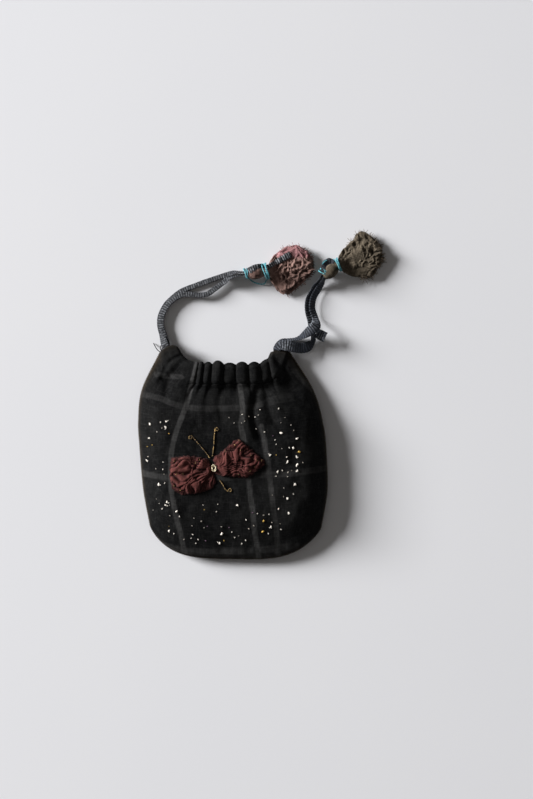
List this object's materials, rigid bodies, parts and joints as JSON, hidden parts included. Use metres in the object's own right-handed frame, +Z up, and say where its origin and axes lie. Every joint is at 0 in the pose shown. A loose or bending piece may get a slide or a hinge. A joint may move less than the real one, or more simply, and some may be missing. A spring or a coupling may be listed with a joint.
{
  "type": "kinchaku drawstring pouch",
  "caption": "Small flat drawstring pouch of dark checked cloth with a gathered casing, two ribbon drawstrings, cloth tassels and a ruched butterfly on its front.",
  "frame": {"origin": "on the table under the middle of the bag, on the flat underside of the back panel", "axes": "+X to the wearer's right across the bag, +Y from the bottom edge to the gathered mouth, +Z up out of the decorated front, the bag lying on its back"},
  "size_m": [0.1455, 0.1944, 0.0172],
  "materials": {
    "checked_cloth": "matt charcoal wool cloth with faint grey windowpane stripes",
    "back_cloth": "matt charcoal wool cloth",
    "navy_ribbon": "ribbed navy-black ribbon with a slight silvery sheen",
    "maroon_cloth": "ruched maroon cloth",
    "gold_thread": "twisted metallic gold thread",
    "seed_stitch": "cream, beige and gold seed stitches",
    "rose_cloth": "dusty rose and brown frayed cloth",
    "olive_cloth": "coarse olive-brown frayed cloth",
    "turquoise_thread": "twisted turquoise thread"
  },
  "bodies": {
    "root": {"front_panel": "checked_cloth", "back_panel": "back_cloth", "left_drawstring_in_casing": "navy_ribbon", "right_drawstring_in_casing": "navy_ribbon", "left_strand_outer": "navy_ribbon", "left_strand_inner": "navy_ribbon", "right_strand_lower": "navy_ribbon", "right_strand_upper": "navy_ribbon", "right_ribbon_cut_end": "navy_ribbon", "pink_tassel_ribbon_end": "navy_ribbon", "olive_tassel_ribbon_loop": "navy_ribbon", "pink_tassel_cloth": "rose_cloth", "olive_tassel_cloth": "olive_cloth", "pink_tassel_band": "turquoise_thread", "pink_tassel_neck_tie": "turquoise_thread", "olive_tassel_band": "turquoise_thread", "olive_tassel_neck_tie": "turquoise_thread", "wing_left": "maroon_cloth", "wing_right": "maroon_cloth", "centre_knot": "gold_thread", "feeler_left": "gold_thread", "feeler_right": "gold_thread", "tail_thread": "gold_thread"}
  },
  "joints": []
}
